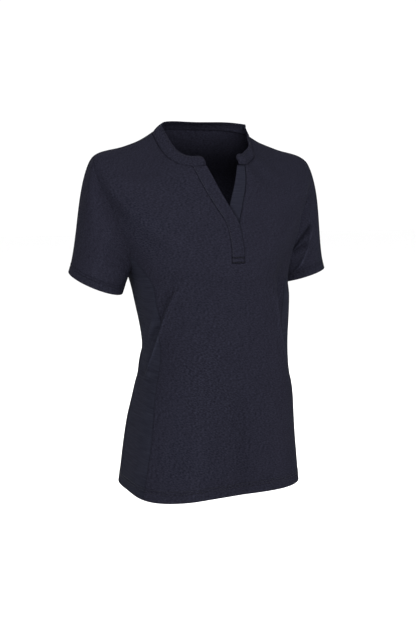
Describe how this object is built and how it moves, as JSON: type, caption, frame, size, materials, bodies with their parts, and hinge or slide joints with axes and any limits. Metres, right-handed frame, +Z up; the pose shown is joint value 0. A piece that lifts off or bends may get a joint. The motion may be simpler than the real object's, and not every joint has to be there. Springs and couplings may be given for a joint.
{
  "type": "short-sleeved polo shirt",
  "caption": "Fitted women's polo shirt in dark heather jersey with a stand band, an open placket, slub side panels and short sleeves, kept in its worn form.",
  "frame": {"origin": "the middle of the neck, at the height of the high points of the shoulders, where a wearer holds the shirt up", "axes": "+X to the wearer's left, the front faces -Y, +Z up"},
  "size_m": [0.5108, 0.246, 0.667],
  "materials": {
    "heather_jersey": "matt brushed jersey, navy and charcoal yarns mixed",
    "slub_jersey": "smooth jersey, slate navy, with fine uneven streaks across"
  },
  "bodies": {
    "root": {"front": "heather_jersey", "back": "heather_jersey", "side_panel_right": "slub_jersey", "side_panel_left": "slub_jersey", "sleeve_right": "heather_jersey", "sleeve_left": "heather_jersey", "collar_band": "heather_jersey", "placket_upper": "heather_jersey", "placket_under": "slub_jersey"}
  },
  "joints": []
}
